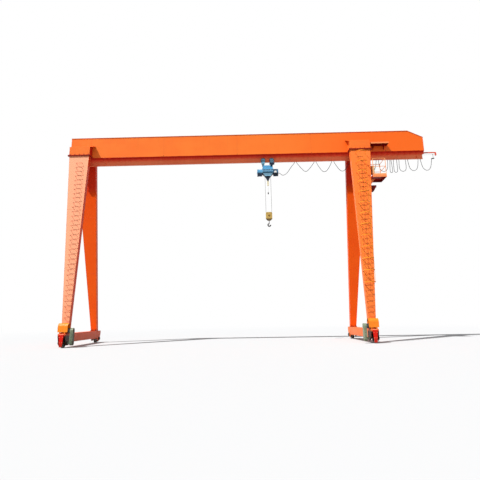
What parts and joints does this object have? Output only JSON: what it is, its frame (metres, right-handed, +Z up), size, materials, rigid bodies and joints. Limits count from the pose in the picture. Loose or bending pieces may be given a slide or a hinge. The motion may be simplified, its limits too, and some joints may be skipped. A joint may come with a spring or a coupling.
{
  "type": "gantry crane",
  "caption": "Single box-girder gantry crane on two A-shaped leg pairs and rail wheels, with a travelling rope hoist, a hook block and one cantilever end.",
  "frame": {"origin": "on the floor plane of the wheel flanges, in the middle of the crane's length and width", "axes": "+X along the girder towards the cantilever, +Y along the rails towards the far legs, +Z up"},
  "size_m": [25.62, 6.32, 14.03],
  "materials": {
    "orange_paint": "satin",
    "leg_paint": "satin",
    "rail_paint": "satin",
    "wheel_steel": "worn",
    "bright_steel": "worn",
    "dark_steel": "satin",
    "red_paint": "satin",
    "hood_paint": "satin",
    "green_grey_paint": "satin",
    "hoist_blue": "gloss",
    "deep_blue": "gloss",
    "block_yellow": "satin",
    "box_cream": "satin",
    "cable_black": "matt",
    "wire_rope": "worn"
  },
  "bodies": {
    "frame": {"top_plate": "orange_paint", "girder_webs": "orange_paint", "end_plates": "orange_paint", "taper_plates": "rail_paint", "track_beam": "rail_paint", "saddle_brackets": "orange_paint", "near_legs": "leg_paint", "far_legs": "orange_paint", "leg_flanges": "leg_paint", "ground_beams": "leg_paint", "axle_housings": "dark_steel", "end_guards": "red_paint", "travel_gearboxes": "green_grey_paint", "travel_motors": "dark_steel", "motor_hoods": "hood_paint", "leg_rungs": "leg_paint", "ladder_cage": "leg_paint", "platform": "leg_paint", "platform_railing": "leg_paint", "electric_box": "box_cream", "signal_box": "rail_paint", "festoon_arm": "rail_paint", "festoon_wire": "wire_rope", "festoon_carriers": "bright_steel", "festoon_cable": "cable_black"},
    "wheel_near_left": {"wheel_near_left": "wheel_steel"},
    "wheel_near_right": {"wheel_near_right": "wheel_steel"},
    "wheel_far_left": {"wheel_far_left": "wheel_steel"},
    "wheel_far_right": {"wheel_far_right": "wheel_steel"},
    "hoist": {"trolley_plates": "hoist_blue", "trolley_motor": "dark_steel", "drum_housing": "hoist_blue", "gear_casing": "deep_blue", "hoist_motor": "hoist_blue", "rope_guide": "dark_steel", "guide_block": "block_yellow", "limit_weight": "dark_steel", "hoist_ropes": "wire_rope"},
    "trolley_wheel_nl": {"trolley_wheel_nl": "wheel_steel"},
    "trolley_wheel_nr": {"trolley_wheel_nr": "wheel_steel"},
    "trolley_wheel_fl": {"trolley_wheel_fl": "wheel_steel"},
    "trolley_wheel_fr": {"trolley_wheel_fr": "wheel_steel"},
    "hook_block": {"block_cheeks": "block_yellow"},
    "sheave": {"block_sheave": "bright_steel"},
    "hook": {"hook": "dark_steel"}
  },
  "joints": [
    {"name": "wheel_near_left_turn", "type": "hinge", "parent": "frame", "child": "wheel_near_left", "pos_m": [-11.39, -2.8, 0.275], "axis": [1, 0, 0], "continuous": true},
    {"name": "wheel_far_left_turn", "type": "hinge", "parent": "frame", "child": "wheel_far_left", "pos_m": [-11.39, 2.8, 0.275], "axis": [1, 0, 0], "continuous": true},
    {"name": "wheel_near_right_turn", "type": "hinge", "parent": "frame", "child": "wheel_near_right", "pos_m": [6.61, -2.8, 0.275], "axis": [1, 0, 0], "continuous": true},
    {"name": "wheel_far_right_turn", "type": "hinge", "parent": "frame", "child": "wheel_far_right", "pos_m": [6.61, 2.8, 0.275], "axis": [1, 0, 0], "continuous": true},
    {"name": "hoist_travel", "type": "slide", "parent": "frame", "child": "hoist", "axis": [1, 0, 0], "range_m": [-10.85, 9.86], "deforming": ["festoon_cable"]},
    {"name": "trolley_wheel_nl_turn", "type": "hinge", "parent": "hoist", "child": "trolley_wheel_nl", "pos_m": [0.64, -0.055, 12.1383], "axis": [0, 1, 0], "continuous": true},
    {"name": "trolley_wheel_nr_turn", "type": "hinge", "parent": "hoist", "child": "trolley_wheel_nr", "pos_m": [1.24, -0.055, 12.1383], "axis": [0, 1, 0], "continuous": true},
    {"name": "trolley_wheel_fl_turn", "type": "hinge", "parent": "hoist", "child": "trolley_wheel_fl", "pos_m": [0.64, 0.055, 12.1383], "axis": [0, 1, 0], "continuous": true},
    {"name": "trolley_wheel_fr_turn", "type": "hinge", "parent": "hoist", "child": "trolley_wheel_fr", "pos_m": [1.24, 0.055, 12.1383], "axis": [0, 1, 0], "continuous": true},
    {"name": "hook_lift", "type": "slide", "parent": "hoist", "child": "hook_block", "axis": [0, 0, 1], "range_m": [-7.3, 1.25], "deforming": ["hoist_ropes"]},
    {"name": "sheave_turn", "type": "hinge", "parent": "hook_block", "child": "sheave", "pos_m": [0.94, 0, 8.26], "axis": [0, 1, 0], "continuous": true},
    {"name": "hook_turn", "type": "hinge", "parent": "hook_block", "child": "hook", "pos_m": [0.94, 0, 7.6], "axis": [0, 0, 1], "continuous": true}
  ]
}
